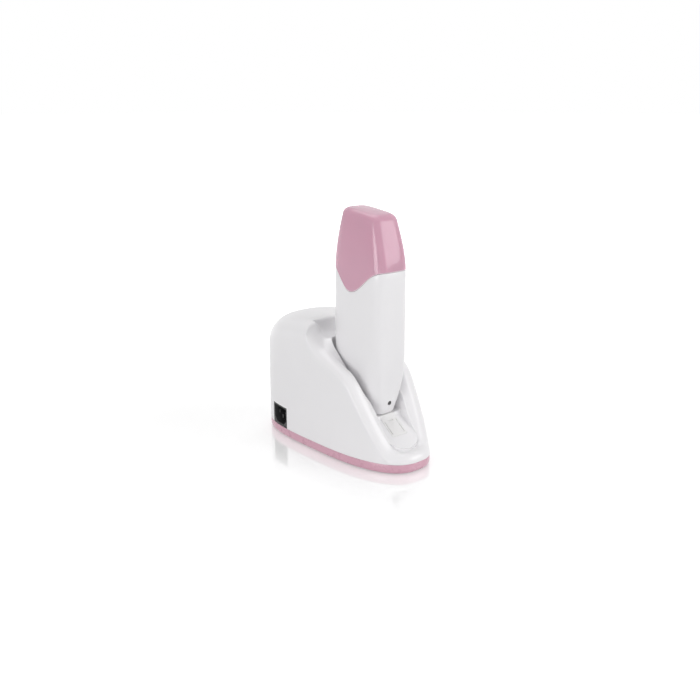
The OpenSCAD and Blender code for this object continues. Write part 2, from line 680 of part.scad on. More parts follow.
module housing_form() {
    skin([for (h = housing_levels) handset_ring(h, 0, ring_points)]);
}
module housing_room() {
    skin([for (h = [floor_h, 8, 16, 26, 40, 58, 100, shoulder_h, housing_h + 1])
        handset_ring(h, housing_wall, ring_points)]);
}
module handset_housing() {
    color(white) in_handset() difference() {
        intersection() {
            housing_form();
            below_seam(0.15);
        }
        housing_room();
        for (s = [-1, 1]) translate([s * contact_pitch / 2, pad_y, -1])
            cylinder(r = pad_recess_r, h = floor_h + 2, $fn = 32);
        for (y = carrier_screw_spots) translate([0, y, 1]) cylinder(r = carrier_screw[0] + fit, h = 3,
            $fn = 24);
        translate([0, 0, led_h]) rotate([90, 0, 0]) cylinder(r = lens_r + 0.05, h = big, $fn = 24);
    }
}

// ---------------------------------------------------------------- handset: collar and well

well_foot_h = housing_h + neck_rise - well_depth;
well_corner = 8;
neck_gap = 0.35;
neck_inset = max(housing_wall, cap_wall) + neck_gap;
well_top_h = housing_h + neck_rise;
collar_foot_h = housing_h - seam_dip - 14;
collar_wall = 1.6;
module well_shape(grow) {
    w = cartridge_w / 2 + 0.6 + grow;
    t = cartridge_t / 2 + 0.6 + grow;
    r = well_corner + grow;
    for (sx = [-1, 1], sy = [-1, 1]) translate([sx * (t - r), sy * (w - r)]) circle(r = r, $fn = 48);
    square([2 * t, 2 * (w - r)], center = true);
    square([2 * (t - r), 2 * w], center = true);
}
fit = 0.02;
well_rim = 0.4;
// Inset and height of the collar's side: a foot that fits in the housing, a step, then the neck
collar_side = [[housing_wall + fit, collar_foot_h], [housing_wall + fit, collar_foot_h + 12],
               [neck_inset, collar_foot_h + 12.4], [neck_inset, shoulder_h], [neck_inset, housing_h],
               [neck_inset, well_top_h - well_wall - 0.6], [neck_inset + 0.5, well_top_h - well_wall]];
module well_collar() {
    color(ceramic) in_handset() difference() {
        skin([for (c = collar_side) handset_ring(c[1], c[0], ring_points)]);
        translate([0, 0, collar_foot_h - 1]) linear_extrude(big) well_shape(well_wall + fit);
    }
}
module heating_well() {
    color(metal) in_handset() difference() {
        union() {
            translate([0, 0, well_foot_h]) linear_extrude(well_depth) well_shape(well_wall);
            translate([0, 0, well_top_h - well_wall]) linear_extrude(well_wall)
                well_shape(well_wall + well_rim);
        }
        translate([0, 0, well_foot_h + well_wall]) linear_extrude(big) well_shape(0);
    }
}

// ---------------------------------------------------------------- handset: heater, thermostat, fuse

well_half_y = cartridge_w / 2 + 0.6 + well_wall;
heater_size = [15, 2.4, 34];
heater_h = well_foot_h + 17;
clip_t = 0.6;
module ptc_heater() {
    color(ceramic) in_handset() translate([-heater_size[0] / 2, -well_half_y - heater_size[1], heater_h])
        cube(heater_size);
}
module heater_clip() {
    color(metal) in_handset() difference() {
        translate([-heater_size[0] / 2 - 1, -well_half_y - heater_size[1] - clip_t, heater_h + 5])
            cube([heater_size[0] + 2, heater_size[1] + clip_t, heater_size[2] - 10]);
        translate([-heater_size[0] / 2 - 0.05, -well_half_y - heater_size[1], heater_h])
            cube([heater_size[0] + 0.1, heater_size[1] + 1, heater_size[2]]);
    }
}
// The thermostat and the fuse lie flat against the underside of the well
under_x = 7;
under_y = 4;
thermostat_size = [8, 15, 3];
fuse_r = 1.5;
fuse_l = 11;
module thermostat() {
    color(black) in_handset()
        translate([-under_x - thermostat_size[0] / 2, under_y - thermostat_size[1] / 2,
            well_foot_h - thermostat_size[2]])
            cube(thermostat_size);
}
module thermal_fuse() {
    color(metal) in_handset() translate([under_x, under_y + fuse_l / 2, well_foot_h - fuse_r])
        rotate([90, 0, 0])
        cylinder(r = fuse_r, h = fuse_l, $fn = 32);
}

// ---------------------------------------------------------------- handset: indicator and contacts

pad_y = contact_y - cradle_y;
pad_h = tip_rise + 0.05;
pad_t = 1.2;
carrier_h = 5;
carrier_half = [9.8, 6];
board_t = 1.6;
lens_r = 2.2;
lens_l = 4.1;
led_l = 3.4;
board_y = -forward(led_h) + 9;
module indicator_board() {
    color(board_green) in_handset() translate([-8, board_y - board_t / 2, floor_h + 0.6]) cube([16,
        board_t, 15]);
}
module indicator_led() {
    color(ceramic) in_handset() translate([0, board_y - board_t / 2, led_h]) rotate([90, 0, 0])
        cylinder(r = lens_r, h = led_l, $fn = 32);
}
module indicator_lens() {
    color(black) in_handset() translate([0, -forward(led_h) + lens_l - 0.1, led_h]) rotate([90, 0, 0])
        cylinder(r = lens_r, h = lens_l, $fn = 32);
}
carrier_screw_spots = [pad_y - 4, pad_y + 4];
module contact_carrier() {
    color(black) in_handset() difference() {
        union() {
            translate([-carrier_half[0], pad_y - carrier_half[1], floor_h])
                cube([2 * carrier_half[0], 2 * carrier_half[1], carrier_h]);
            translate([-5, board_y + board_t / 2, floor_h])
                cube([10, pad_y - board_y - board_t / 2, carrier_h]);
        }
        for (s = [-1, 1]) translate([s * contact_pitch / 2, pad_y, 0]) {
            cylinder(r = pad_recess_r, h = pad_h + pad_t, $fn = 48);
            cylinder(r = 1.2, h = 20, $fn = 24);
        }
        for (y = carrier_screw_spots) translate([0, y, 0]) cylinder(r = 0.95, h = 20, $fn = 24);
    }
}
module contact_pad(side) {
    in_handset() translate([side * contact_pitch / 2, pad_y, pad_h])
        cylinder(r = pad_recess_r - 0.05, h = pad_t, $fn = 48);
}
module contact_pad_left() { color(brass) contact_pad(-1); }
module contact_pad_right() { color(brass) contact_pad(1); }
module carrier_screws() {
    color(metal) in_handset() for (y = carrier_screw_spots)
        translate([0, y, floor_h + carrier_h + carrier_screw[2]]) mirror([0, 0, 1]) screw(carrier_screw);
}
// Leads from the pads to the thermostat and the fuse, and on from these up the front to the heater
module handset_leads() {
    r = 0.7;
    start_h = pad_h + pad_t;
    low_h = well_foot_h - 2.6;
    front_y = -well_half_y - 1.7;
    under_h = well_foot_h - fuse_r;
    x = contact_pitch / 2;
    color(copper) in_handset() {
        wire([[-x, pad_y, start_h], [-x, pad_y, 14], [-under_x, under_y + 2, 25],
              [-under_x, under_y + 3, well_foot_h - thermostat_size[2]]], r);
        wire([[x, pad_y, start_h], [x, pad_y, 14], [under_x, under_y + 9, 24],
              [under_x, under_y + fuse_l / 2 + 3.5, under_h - 1], [under_x, under_y + fuse_l / 2,
                  under_h]], r);
        wire([[-under_x, under_y - thermostat_size[1] / 2, under_h], [-6, -16, low_h], [-5, -well_half_y,
            low_h],
              [-5, front_y, well_foot_h + 2], [-5, front_y, heater_h - 6], [-5, -well_half_y - 1.2,
                  heater_h]], r);
        wire([[under_x, under_y - fuse_l / 2, under_h], [6, -16, low_h], [5, -well_half_y, low_h],
              [5, front_y, well_foot_h + 2], [5, front_y, heater_h - 6], [5, -well_half_y - 1.2,
                  heater_h]], r);
    }
}

// ---------------------------------------------------------------- cap

cap_levels = concat([housing_h - seam_dip - 6, housing_h - 10],
    [for (i = [0:5]) mix(shoulder_h, handset_h - top_round, i / 5)],
    [for (a = [20, 40, 60, 78, 90]) handset_h - top_round * (1 - sin(a))]);
cap_room_levels = concat([housing_h - seam_dip - 7, housing_h - 10],
    [for (i = [0:4]) mix(shoulder_h, handset_h - top_round, i / 4)],
    [for (a = [30, 60, 82]) handset_h - top_round * (1 - sin(a))]);
module cap() {
    color(clear_pink) in_handset() difference() {
        intersection() {
            skin([for (h = cap_levels) handset_ring(h, 0, ring_points)]);
            above_seam(0.15);
        }
        translate([0, 0, -cap_wall]) skin([for (h = cap_room_levels) handset_ring(h, cap_wall, 40)]);
    }
}

base_shell();
base_tray();
base_feet();
base_screws();
mains_inlet();
inlet_pins();
base_leads();
contact_block();
contact_retainer();
retainer_screws();
contact_plunger_left();
contact_plunger_right();
plunger_spring_left();
plunger_spring_right();
handset_housing();
well_collar();
heating_well();
ptc_heater();
heater_clip();
thermostat();
thermal_fuse();
indicator_board();
indicator_led();
indicator_lens();
contact_carrier();
contact_pad_left();
contact_pad_right();
carrier_screws();
handset_leads();
cap();
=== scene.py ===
"""Roll on wax heater in its mains dock: the look of the part, dressed over its CAD frame.

Lengths in the constants below are millimetres. Meshes are made in metres, in the row frame.
"""
import math

import bmesh
import bpy
from mathutils import Matrix, Vector


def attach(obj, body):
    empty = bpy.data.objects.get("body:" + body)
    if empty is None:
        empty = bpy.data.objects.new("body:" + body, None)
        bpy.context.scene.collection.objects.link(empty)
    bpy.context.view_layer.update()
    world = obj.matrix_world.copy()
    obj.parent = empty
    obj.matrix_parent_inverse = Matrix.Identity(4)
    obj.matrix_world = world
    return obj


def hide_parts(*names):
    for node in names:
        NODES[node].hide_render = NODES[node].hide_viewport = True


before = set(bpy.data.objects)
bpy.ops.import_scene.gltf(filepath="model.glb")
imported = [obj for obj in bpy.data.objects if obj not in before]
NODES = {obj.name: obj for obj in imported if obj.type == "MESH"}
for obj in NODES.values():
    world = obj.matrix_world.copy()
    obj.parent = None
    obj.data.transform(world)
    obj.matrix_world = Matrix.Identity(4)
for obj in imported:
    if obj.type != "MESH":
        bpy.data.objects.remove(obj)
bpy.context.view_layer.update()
SCENE = bpy.context.scene
SCENE.view_settings.view_transform = "Standard"
MM = 0.001

# ------------------------------------------------------------------ sizes, as in the CAD source

DOCK_L, DOCK_W = 206.0, 88.5
PLATEAU_Z, NOSE_H, FRONT_SLOPE = 130.0, 19.0, 1.6
SEAM_Z, FOOT_GAP, SHELL_WALL = 10.0, 0.8, 2.5
CRADLE_Y, SEAT_Z, CRADLE_GAP, BACK_ROOM = -32.0, 45.7, 1.6, 2.6
HANDSET_H, HANDSET_D, HANDSET_W = 200.0, 70.0, 43.0
HOUSING_H, SEAM_DIP, HOUSING_WALL, CAP_WALL = 142.0, 22.0, 2.2, 2.0
INLET_W, INLET_H, INLET_TO_BACK, INLET_GAP = 28.0, 22.0, 41.0, 0.25
BLOCK_W, CONTACT_PITCH = 19.0, 12.0

HALF_L = DOCK_L / 2
CONTACT_Y, INLET_Y = CRADLE_Y - 10, HALF_L - INLET_TO_BACK
NOSE_POWER, BACK_POWER, NOSE_TAPER, STILL = 0.76, 0.62, 0.03, 0.27
HANDSET_Z = SEAT_Z + 0.3
WELL_HALF_W = HANDSET_W / 2 + CRADLE_GAP
WALL_Y = CRADLE_Y + HANDSET_D / 2 + 18.5
COVE_RUN, CHEEK_LEAD, CHEEK_RUN = 11.0, 9.0, 16.0
SHELF_Z, SHELF_RISE, SHELF_SOFT = PLATEAU_Z - 36, 0.44, 8.0
FRONT_START = (-HALF_L + 41, NOSE_H + 41.5)
DISH_START = (-HALF_L + 22.5, NOSE_H + 4.5)
DISH_MID, DISH_RISE = (-HALF_L + 42.5, NOSE_H + 38.5), 0.55
DISH_BACK, DISH_BACK_RISE = (CRADLE_Y + 14, PLATEAU_Z - 35.5), 1.2
DISH_TOP_Z = PLATEAU_Z - 16
LIP_R, PLATEAU_RISE = 3.0, 0.02
CREASE_Y, CREASE_HALF, CREASE_DEPTH, CREASE_END, CREASE_FADE = 5.6, 1.5, 0.5, 26.0, 8.0
FRONT_EDGE, PLATEAU_EDGE, BACK_EDGE = (12, 7, 8), (15, 15, 15), (30, 50, 38)
SCOOP_TOP, SCOOP_SLOPE = (CRADLE_Y - HANDSET_D / 2 + 7.5, SEAT_Z - 3.2), 0.767
SCOOP_NOSE_Y, SCOOP_RAMP = -HALF_L + 12, 1.5
WELL_BACK_Y = CRADLE_Y + HANDSET_D / 2 + CRADLE_GAP + BACK_ROOM
CORNER_R = 13 + CRADLE_GAP
WELL_TUCK, FOOT_RUN = 5.0, 58.0
BLOCK_FRONT_Y, BLOCK_BACK_Y, BLOCK_GAP = SCOOP_TOP[0] - 17, CRADLE_Y + 4, 0.25
BLOCK_HOLE = BLOCK_W / 2 + BLOCK_GAP
FEET_Y, FEET_IN, FOOT_R = (-HALF_L + 53, HALF_L - 27), 14.0, 6.0
SCREWS_Y, SCREW_IN, TRAY_INSET = (-HALF_L + 41, HALF_L - 19), 2.6, 0.3
# The angle, in degrees, above which an edge stays sharp, and the distance within which points are joined
SHARP, MERGE = 38.0, 1e-4


def mix(a, b, t):
    return a + (b - a) * t


def clamp01(t):
    return min(max(t, 0.0), 1.0)


def ease(t):
    c = clamp01(t)
    return c * c * (3 - 2 * c)


def soft_min(a, b, r):
    h = max(r - abs(a - b), 0)
    return min(a, b) - h * h / (4 * r)


def soft_max(a, b, r):
    return -soft_min(-a, -b, r)


def sign(v):
    return (v > 0) - (v < 0)


def steps(a, b, n):
    return [mix(a, b, i / n) for i in range(n + 1)]


# ------------------------------------------------------------------ mesh helpers


def piece(name, verts, faces, body, material, replaces=(), sharp=SHARP):
    """A mesh object from points in millimetres, smooth but for edges sharper than an angle."""
    bm = bmesh.new()
    made = [bm.verts.new(Vector(v) * MM) for v in verts]
    for f in faces:
        if len(set(f)) > 2:
            try:
                bm.faces.new([made[i] for i in f])
            except ValueError:
                pass
    bmesh.ops.remove_doubles(bm, verts=bm.verts, dist=MERGE * MM)
    bmesh.ops.dissolve_degenerate(bm, edges=bm.edges, dist=MERGE * MM)
    bmesh.ops.delete(bm, geom=[v for v in bm.verts if not v.link_faces], context="VERTS")
    bmesh.ops.recalc_face_normals(bm, faces=bm.faces)
    return from_bmesh(name, bm, body, material, replaces, sharp)


def smoothed(bm, sharp):
    for f in bm.faces:
        f.smooth = True
    for e in bm.edges:
        e.smooth = len(e.link_faces) != 2 or e.calc_face_angle(0) < math.radians(sharp)


def from_bmesh(name, bm, body, material, replaces=(), sharp=SHARP):
    smoothed(bm, sharp)
    mesh = bpy.data.meshes.new(name)
    bm.to_mesh(mesh)
    bm.free()
    obj = bpy.data.objects.new(name, mesh)
    SCENE.collection.objects.link(obj)
    mesh.materials.append(material)
    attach(obj, body)
    if replaces:
        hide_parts(*replaces)
    return obj


def grid_faces(rows, cols, closed=False):
    """Quads over a grid of points that is stored row by row."""
    faces = []
    for i in range(rows - 1):
        for j in range(cols if closed else cols - 1):
            n = (j + 1) % cols
            faces.append([i * cols + j, i * cols + n, (i + 1) * cols + n, (i + 1) * cols + j])
    return faces


def rings_solid(rings):
    """A closed skin over rings of points, with a flat face at each end."""
    n = len(rings[0])
    faces = grid_faces(len(rings), n, closed=True)
    faces.append(list(range(n)))
    faces.append([(len(rings) - 1) * n + k for k in range(n)])
    return [p for r in rings for p in r], faces


def lathe(profile, sides):
    """Rings round the Z axis from a list of (radius, height)."""
    return [[(r * math.cos(2 * math.pi * k / sides), r * math.sin(2 * math.pi * k / sides), z)
             for k in range(sides)] for r, z in profile]


def moved(rings, x, y, z):
    return [[(p[0] + x, p[1] + y, p[2] + z) for p in r] for r in rings]


def bake_modifiers(obj):
    """Makes the modifiers of a new piece part of its mesh."""
    mesh = bpy.data.meshes.new_from_object(obj.evaluated_get(bpy.context.evaluated_depsgraph_get()))
    old = obj.data
    obj.modifiers.clear()
    obj.data = mesh
    bpy.data.meshes.remove(old)


def cut_with(obj, cutters):
    """Takes closed shapes, each (points, faces) in millimetres, out of a closed piece."""
    made = []
    for i, (verts, faces) in enumerate(cutters):
        mesh = bpy.data.meshes.new("cutter")
        mesh.from_pydata([Vector(v) * MM for v in verts], [], faces)
        bm = bmesh.new()
        bm.from_mesh(mesh)
        bmesh.ops.recalc_face_normals(bm, faces=bm.faces)
        bm.to_mesh(mesh)
        bm.free()
        cutter = bpy.data.objects.new("cutter", mesh)
        SCENE.collection.objects.link(cutter)
        made.append(cutter)
        mod = obj.modifiers.new("cut%d" % i, "BOOLEAN")
        mod.object, mod.operation, mod.solver = cutter, "DIFFERENCE", "EXACT"
    bpy.context.view_layer.update()
    bake_modifiers(obj)
    for cutter in made:
        bpy.data.objects.remove(cutter)
    bm = bmesh.new()
    bm.from_mesh(obj.data)
    bmesh.ops.remove_doubles(bm, verts=bm.verts, dist=MERGE * MM)
    smoothed(bm, SHARP)
    bm.to_mesh(obj.data)
    bm.free()


def softened(name, node, body, material, width):
    """A small moulded piece: the CAD node's own shape, with its edges rounded by a width."""
    turn, flat, least = 40.0, 1.5, 0.3
    bm = bmesh.new()
    bm.from_mesh(NODES[node].data)
    bmesh.ops.remove_doubles(bm, verts=bm.verts, dist=1e-6)
    bmesh.ops.dissolve_limit(bm, angle_limit=math.radians(flat), verts=bm.verts, edges=bm.edges)
    for e in bm.edges:
        e.smooth = True
    edges = [e for e in bm.edges
             if len(e.link_faces) == 2 and e.calc_face_angle(0) > math.radians(turn)]
    shortest = min(e.calc_length() for e in edges)
    bmesh.ops.bevel(bm, geom=edges, offset=min(width * MM, 0.45 * max(shortest, least * MM)),
                    offset_type="OFFSET", segments=2, profile=0.5, affect="EDGES", clamp_overlap=True)
    return from_bmesh(name, bm, body, material, (node,), sharp=50)


# ------------------------------------------------------------------ form of the dock


def plan_x(m, inset):
    e = mix(BACK_POWER, NOSE_POWER, ease((1 - m) / 2))
    c = abs(m) ** (1 / e)
    s = math.sqrt(max(0.0, 1 - c * c))
    return (DOCK_W / 2 - inset) * s ** e * (1 + NOSE_TAPER * sign(m) * c)


def plan_y(m, inset):
    return m * HALF_L - inset * sign(m) * max(0.0, (abs(m) - STILL) / (1 - STILL)) ** 1.2


WALL_M = WALL_Y / HALF_L
BACK_END = 0.4
BACK_START = (HALF_L - WALL_Y) / (HALF_L - BACK_EDGE[1] - WALL_Y)


def back_share(t):
    return t + (1 - BACK_END) * t * (1 - t) + (BACK_START - 2 + BACK_END) * t * (1 - t) ** 2


def edge_along(m):
    if m <= WALL_M:
        return plan_y(m, 0) - plan_y(m, FRONT_EDGE[1])
    return m * HALF_L - mix(WALL_Y, HALF_L - BACK_EDGE[1], back_share((m - WALL_M) / (1 - WALL_M)))


def top_y(m):
    return m * HALF_L - edge_along(m)


def m_at(y):
    """The station whose top line lies at a given y."""
    lo, hi = -1.0, 1.0
    for _ in range(60):
        mid = (lo + hi) / 2
        lo, hi = (mid, hi) if top_y(mid) < y else (lo, mid)
    return (lo + hi) / 2


def plateau(d):
    r = max(0.0, LIP_R - d)
    return (PLATEAU_Z + PLATEAU_RISE * max(0.0, min(d, 30))
            - (LIP_R - math.sqrt(max(0.0, LIP_R * LIP_R - r * r))))


def up_to_wall(low, y, wall, run):
    if y > wall:
        return plateau(y - wall)
    c = clamp01((y - wall + run) / run)
    return low + (PLATEAU_Z - LIP_R - low) * (1 - math.sqrt(1 - c * c))


def crease(x, y):
    d = abs(y - WALL_Y - CREASE_Y) / CREASE_HALF
    return CREASE_DEPTH * max(0.0, 1 - d * d) ** 2 * (1 - ease((abs(x) - CREASE_END) / CREASE_FADE))


def crest(y):
    front = soft_max(NOSE_H, FRONT_START[1] + FRONT_SLOPE * (y - FRONT_START[0]), 8)
    low = soft_min(front, SHELF_Z + SHELF_RISE * (y - CRADLE_Y), SHELF_SOFT)
    return up_to_wall(low, y, WALL_Y - CHEEK_LEAD, CHEEK_RUN)


def dish(y):
    steep = soft_max(NOSE_H, DISH_START[1] + 1.53 * (y - DISH_START[0]), 5)
    long = DISH_MID[1] + DISH_RISE * (y - DISH_MID[0])
    back = DISH_BACK[1] + DISH_BACK_RISE * (y - DISH_BACK[0])
    low = soft_min(soft_max(soft_min(steep, long, 4), back, 3), DISH_TOP_Z, 5)
    return up_to_wall(low, y, WALL_Y, COVE_RUN)


def flare(x, x_edge):
    start = min(WELL_HALF_W, 0.62 * x_edge)
    t = clamp01((abs(x) - start) / max(x_edge - start, 0.01))
    return mix(t, ease(t), 0.5)


def top_z(x, y, x_edge):
    return mix(dish(y), crest(y), flare(x, x_edge)) - (crease(x, y) if y > WALL_Y else 0)


def edge_round(m):
    t = ease((m * HALF_L - WALL_Y + 14) / 20)
    u = ease((m - 0.3) / 0.7)
    return [mix(mix(FRONT_EDGE[k], PLATEAU_EDGE[k], t), BACK_EDGE[k], u) for k in range(3)]


def scoop_floor(y):
    slope = SCOOP_TOP[1] + SCOOP_SLOPE * (y - SCOOP_TOP[0])
    if y <= SCOOP_TOP[0]:
        return slope
    return mix(SCOOP_TOP[1], SEAT_Z, clamp01((y - SCOOP_TOP[0]) / SCOOP_RAMP))


# ------------------------------------------------------------------ dock shell, with its well

RIM, FILLET, BLOCK_SKIRT = 1.2, 2.0, 2.5
TOP_INNER, TOP_OUTER, EDGE_STEPS, FLANK_STEPS, BLOCK_COLUMNS = 10, 14, 12, 14, 5


def well_rows():
    """Stations along the rim of the well: (x, y) of its outer edge, and the way out from the well."""
    r, yc = WELL_HALF_W + RIM, SCOOP_NOSE_Y + WELL_HALF_W
    block_front = math.degrees(math.acos((yc - BLOCK_FRONT_Y + BLOCK_GAP) / (WELL_HALF_W - FILLET)))
    rows = []
    for a in sorted({*[2.0 * i for i in range(46)], block_front}):
        s, c = math.sin(math.radians(a)), math.cos(math.radians(a))
        rows.append((r * s, yc - r * c, s, -c))
    corner_y, corner_x, big_r = WELL_BACK_Y - CORNER_R, WELL_HALF_W - CORNER_R, CORNER_R + RIM
    marks = {SCOOP_TOP[0], SCOOP_TOP[0] + SCOOP_RAMP, BLOCK_BACK_Y + BLOCK_GAP}
    apart = 1.6
    y = yc + apart
    while y < corner_y - apart / 2:
        marks.add(y)
        y += apart
    for y in sorted(marks):
        if yc < y < corner_y:
            rows.append((r, y, 1.0, 0.0))
    for a in steps(0, 90, 18):
        s, c = math.sin(math.radians(a)), math.cos(math.radians(a))
        x, nx = (0.0, 0.0) if a == 90 else (corner_x + big_r * c, c)
        rows.append((x, corner_y + big_r * s, nx, s))
    return rows


def free_rows(taken):
    """Stations away from the well, close together where the form turns quickly."""
    ys = []
    for q in steps(0.0, 0.62, 14):
        for end, power in ((-1, NOSE_POWER), (1, BACK_POWER)):
            s = q ** (1 / power)
            ys.append(top_y(end * math.sqrt(max(0.0, 1 - s * s)) ** power))
    for wall in (WALL_Y, WALL_Y - CHEEK_LEAD):
        run = COVE_RUN if wall == WALL_Y else CHEEK_RUN
        ys += [wall - run * (1 - math.sin(math.radians(a))) for a in steps(0, 90, 26)]
        ys += [wall + LIP_R * (1 - math.cos(math.radians(a))) for a in steps(0, 90, 9)]
    ys += [WALL_Y + CREASE_Y + d for d in steps(-1.6, 1.6, 12)]
    ys += steps(top_y(-1) + 0.5, top_y(1) - 0.5, 90)
    kept = []
    for y in sorted(ys):
        at_end = min(y - top_y(-1), top_y(1) - y) < 0.6
        apart = 0.0002 if at_end else 0.03
        if all(abs(y - t) > 0.11 for t in taken) and (not kept or y - kept[-1] > apart):
            kept.append(y)
    return kept


def dock_rows():
    """All stations from the nose to the back: y, and the station on the well's rim or None."""
    well = [leaned_in(row) for row in well_rows()]
    taken = [row[1] for row in well]
    rows = [(y, None) for y in free_rows(taken) if not taken[0] < y < taken[-1]]
    rows += [(row[1], row) for row in well]
    return sorted(rows, key=lambda row: row[0])


def well_side(z):
    """Half the room between the well's side walls, which lean in towards the foot of the handset."""
    return WELL_HALF_W - WELL_TUCK * foot_share(z - HANDSET_Z)


def leaned_in(row):
    """The same station with its rim drawn in to where the leaning side wall meets the top."""
    x, y, nx, ny = row
    m = m_at(y)
    x_edge = plan_x(m, edge_round(m)[0])
    rim = x
    for _ in range(6 if x > 0 else 0):
        z = top_z(rim, y, x_edge)
        rim = soft_min(x, well_side(z) + RIM, max(3 * foot_share(z - HANDSET_Z), 0.01))
    return rim, y, nx, ny


def top_columns(w, x_edge):
    middle = min(WELL_HALF_W + RIM + 0.2, 0.8 * x_edge)
    middle = max(middle, w + 0.3 * (x_edge - w)) if w > middle - 0.2 else middle
    return ([mix(w, middle, i / TOP_INNER) for i in range(TOP_INNER)]
            + [mix(middle, x_edge, i / TOP_OUTER) for i in range(TOP_OUTER)])


def shell_side_row(y, w):
    """Half a section of the outer skin, from the rim or the middle line out and down to the seam."""
    m = m_at(y)
    r = edge_round(m)
    x_edge = plan_x(m, r[0])
    out = [(x, y, top_z(x, y, x_edge)) for x in top_columns(min(w, x_edge), x_edge)]
    for a in steps(90, 0, EDGE_STEPS):
        s, c = math.sin(math.radians(a)), math.cos(math.radians(a))
        py = m * HALF_L - edge_along(m) * (1 - c)
        out.append((plan_x(m, r[0] * (1 - c)), py, crest(py) - r[2] * (1 - s)))
    top = out[-1]
    out += [(top[0], top[1], mix(top[2], SEAM_Z + 0.4, t)) for t in steps(0, 1, FLANK_STEPS)[1:]]
    for inset, z in ((0.12, SEAM_Z + 0.12), (0.4, SEAM_Z), (2.3, SEAM_Z), (2.4, SEAM_Z + 3)):
        out.append((plan_x(m, inset), plan_y(m, inset), z))
    return out


def well_side_row(row, z):
    """From the rim of the well in and down its wall, then over its floor to the middle line."""
    x, y, nx, ny = row
    fy = y - ny * (RIM + FILLET)
    floor = scoop_floor(fy)
    room = max(z - floor, 0.3)
    rim_z, fil_z = min(RIM, 0.55 * room), min(FILLET, 0.4 * room)
    out = []
    for a in steps(0, 90, 6):
        s, c = math.sin(math.radians(a)), math.cos(math.radians(a))
        out.append((x - nx * RIM * s, y - ny * RIM * s, z - rim_z * (1 - c)))
    foot = out[-1]
    levels = [mix(foot[2], floor + fil_z, t) for t in steps(0, 1, 10)[1:]]
    out += [(min(foot[0], well_side(h)), foot[1], h) for h in levels]
    foot_x = out[-1][0]
    for a in steps(0, 90, 5)[1:]:
        s, c = math.sin(math.radians(a)), math.cos(math.radians(a))
        run = FILLET * (1 - c)
        out.append((foot_x - nx * run, foot[1] - ny * run, floor + fil_z * (1 - s)))
    fx = foot_x - nx * FILLET
    block = min(BLOCK_HOLE, 0.6 * fx)
    out += [(mix(fx, block, t), fy, floor) for t in steps(0, 1, 6)[1:]]
    out += [(mix(block, 0, t), fy, floor) for t in steps(0, 1, BLOCK_COLUMNS)[1:]]
    return out


def half_shell():
    """The right half of the shell: outer skin, well, and a skirt round the contact block's opening."""
    rows = dock_rows()
    outer = [shell_side_row(y, well[0] if well else 0.0) for y, well in rows]
    inner = [well_side_row(well, out[0][2]) for out, (_, well) in zip(outer, rows) if well]
    verts = [p for row in outer + inner for p in row]
    faces = grid_faces(len(outer), len(outer[0]))
    start, n = len(outer) * len(outer[0]), len(inner[0])
    front, back = BLOCK_FRONT_Y - BLOCK_GAP, BLOCK_BACK_Y + BLOCK_GAP
    for k, quad in enumerate(grid_faces(len(inner), n)):
        quad = [start + i for i in quad]
        cx, cy = (sum(verts[i][axis] for i in quad) / 4 for axis in (0, 1))
        over_block = k % (n - 1) >= n - 1 - BLOCK_COLUMNS and front < cy < back and cx < BLOCK_HOLE
        if not over_block:
            faces.append(quad[::-1])
    straight = [row[1] for _, row in rows if row and row[2] > 0.99 and front <= row[1] <= back]
    ys = sorted({front, *straight, SCOOP_TOP[0], SCOOP_TOP[0] + SCOOP_RAMP, back})
    path = [(0.0, front)] + [(BLOCK_HOLE, y) for y in ys] + [(0.0, back)]
    skirt = [[(x, y, scoop_floor(y)), (x, y, scoop_floor(y) - BLOCK_SKIRT)] for x, y in path]
    base = len(verts)
    verts += [p for pair in skirt for p in pair]
    faces += [[base + i for i in quad] for quad in grid_faces(len(skirt), 2)]
    return verts, faces


def mirrored(verts, faces):
    n = len(verts)
    other = [(-x, y, z) for x, y, z in verts]
    return verts + other, faces + [[i + n for i in f[::-1]] for f in faces]


def inlet_place():
    """The middle of the inlet's face on the flank, turned to lie along it."""
    m, step = INLET_Y / HALF_L, 0.1
    turn = math.atan2(plan_x(m - step, 0) - plan_x(m + step, 0), 2 * step * HALF_L)
    spot = (-plan_x(m, 0), INLET_Y, SEAM_Z + 0.15 + INLET_GAP + INLET_H / 2)
    return Matrix.Translation(spot) @ Matrix.Rotation(-turn, 4, "Z")


def dock_shell(material):
    verts, faces = mirrored(*half_shell())
    obj = piece("dock_shell", verts, faces, "dock", material, ("base_shell",), sharp=42)
    open_inlet(obj)


def open_inlet(obj):
    """Cuts the flank open for the mains inlet along four planes and takes the inside away."""
    place = inlet_place()
    half_w, half_h, reach_in = INLET_W / 2 + INLET_GAP, INLET_H / 2 + INLET_GAP, 8
    bm = bmesh.new()
    bm.from_mesh(obj.data)

    def local(v):
        return place.inverted() @ (v / MM)

    def near(v):
        p = local(v)
        return abs(p.x) < reach_in and abs(p.y) < half_w + 6 and abs(p.z) < half_h + 12

    for axis, value in ((1, -half_w), (1, half_w), (2, -half_h), (2, half_h)):
        part = [f for f in bm.faces if all(near(v.co) for v in f.verts)]
        geom = part + list({e for f in part for e in f.edges})
        geom += list({v for f in part for v in f.verts})
        co, no = Vector((0, 0, 0)), Vector((0, 0, 0))
        co[axis], no[axis] = value, 1
        bmesh.ops.bisect_plane(bm, geom=geom, dist=1e-7, plane_co=(place @ co) * MM,
                               plane_no=(place.to_3x3() @ no).normalized())
    gone = []
    for f in bm.faces:
        p = local(f.calc_center_median())
        if abs(p.x) < reach_in and abs(p.y) < half_w and abs(p.z) < half_h:
            gone.append(f)
    bmesh.ops.delete(bm, geom=gone, context="FACES")
    bm.to_mesh(obj.data)
    bm.free()


# ------------------------------------------------------------------ tray and feet


